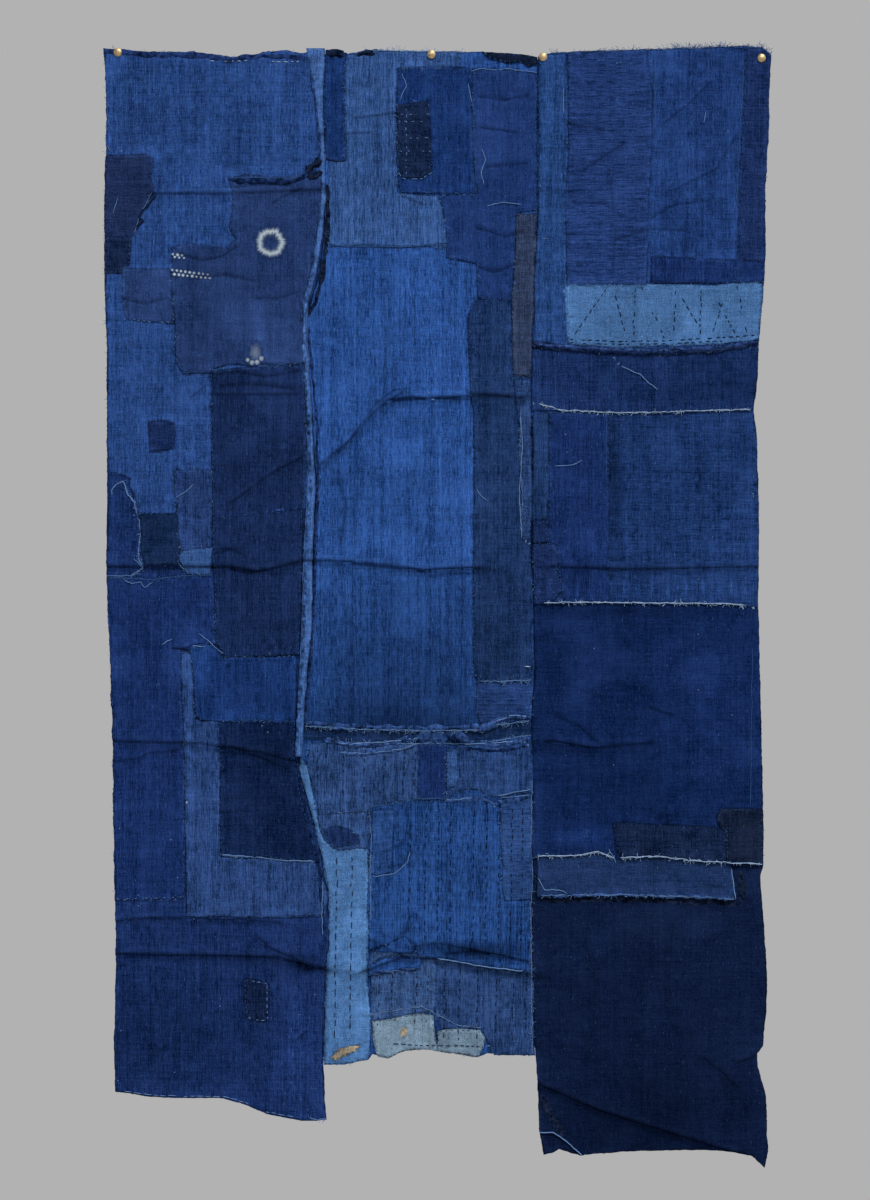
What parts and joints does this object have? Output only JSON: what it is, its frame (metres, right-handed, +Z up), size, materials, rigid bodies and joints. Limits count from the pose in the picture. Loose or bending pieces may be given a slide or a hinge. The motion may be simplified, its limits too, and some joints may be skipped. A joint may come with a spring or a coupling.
{
  "type": "boro patched cloth with wall pins",
  "caption": "Worn indigo cotton patchwork cloth with frayed mends and running stitches, hung flat by its top edge on round-headed pins.",
  "frame": {"origin": "on the wall plane, at the middle of the line of pins along the cloth's top edge", "axes": "+X to the right as the cloth is looked at, +Y into the wall, +Z up; the cloth hangs below the origin and stands off towards -Y"},
  "size_m": [0.937, 0.0393, 1.573],
  "materials": {
    "indigo_cotton": "worn mid-blue plain-weave cotton, matt",
    "dark_indigo_cotton": "dark indigo plain-weave cotton, matt",
    "pale_indigo_cotton": "faded pale blue plain-weave cotton, matt",
    "brass_pin": "dull brass, softly worn"
  },
  "bodies": {
    "root": {"left_panel": "indigo_cotton", "seam_strip": "pale_indigo_cotton", "middle_upper_panel": "indigo_cotton", "middle_lower_panel": "pale_indigo_cotton", "tear_backing": "dark_indigo_cotton", "right_length_1": "indigo_cotton", "right_length_2": "dark_indigo_cotton", "right_length_3": "indigo_cotton", "right_length_4": "dark_indigo_cotton", "right_length_5": "dark_indigo_cotton", "flap_strip": "indigo_cotton", "wall_pin_1": "brass_pin", "wall_pin_2": "brass_pin", "wall_pin_3": "brass_pin", "wall_pin_4": "brass_pin"}
  },
  "joints": []
}
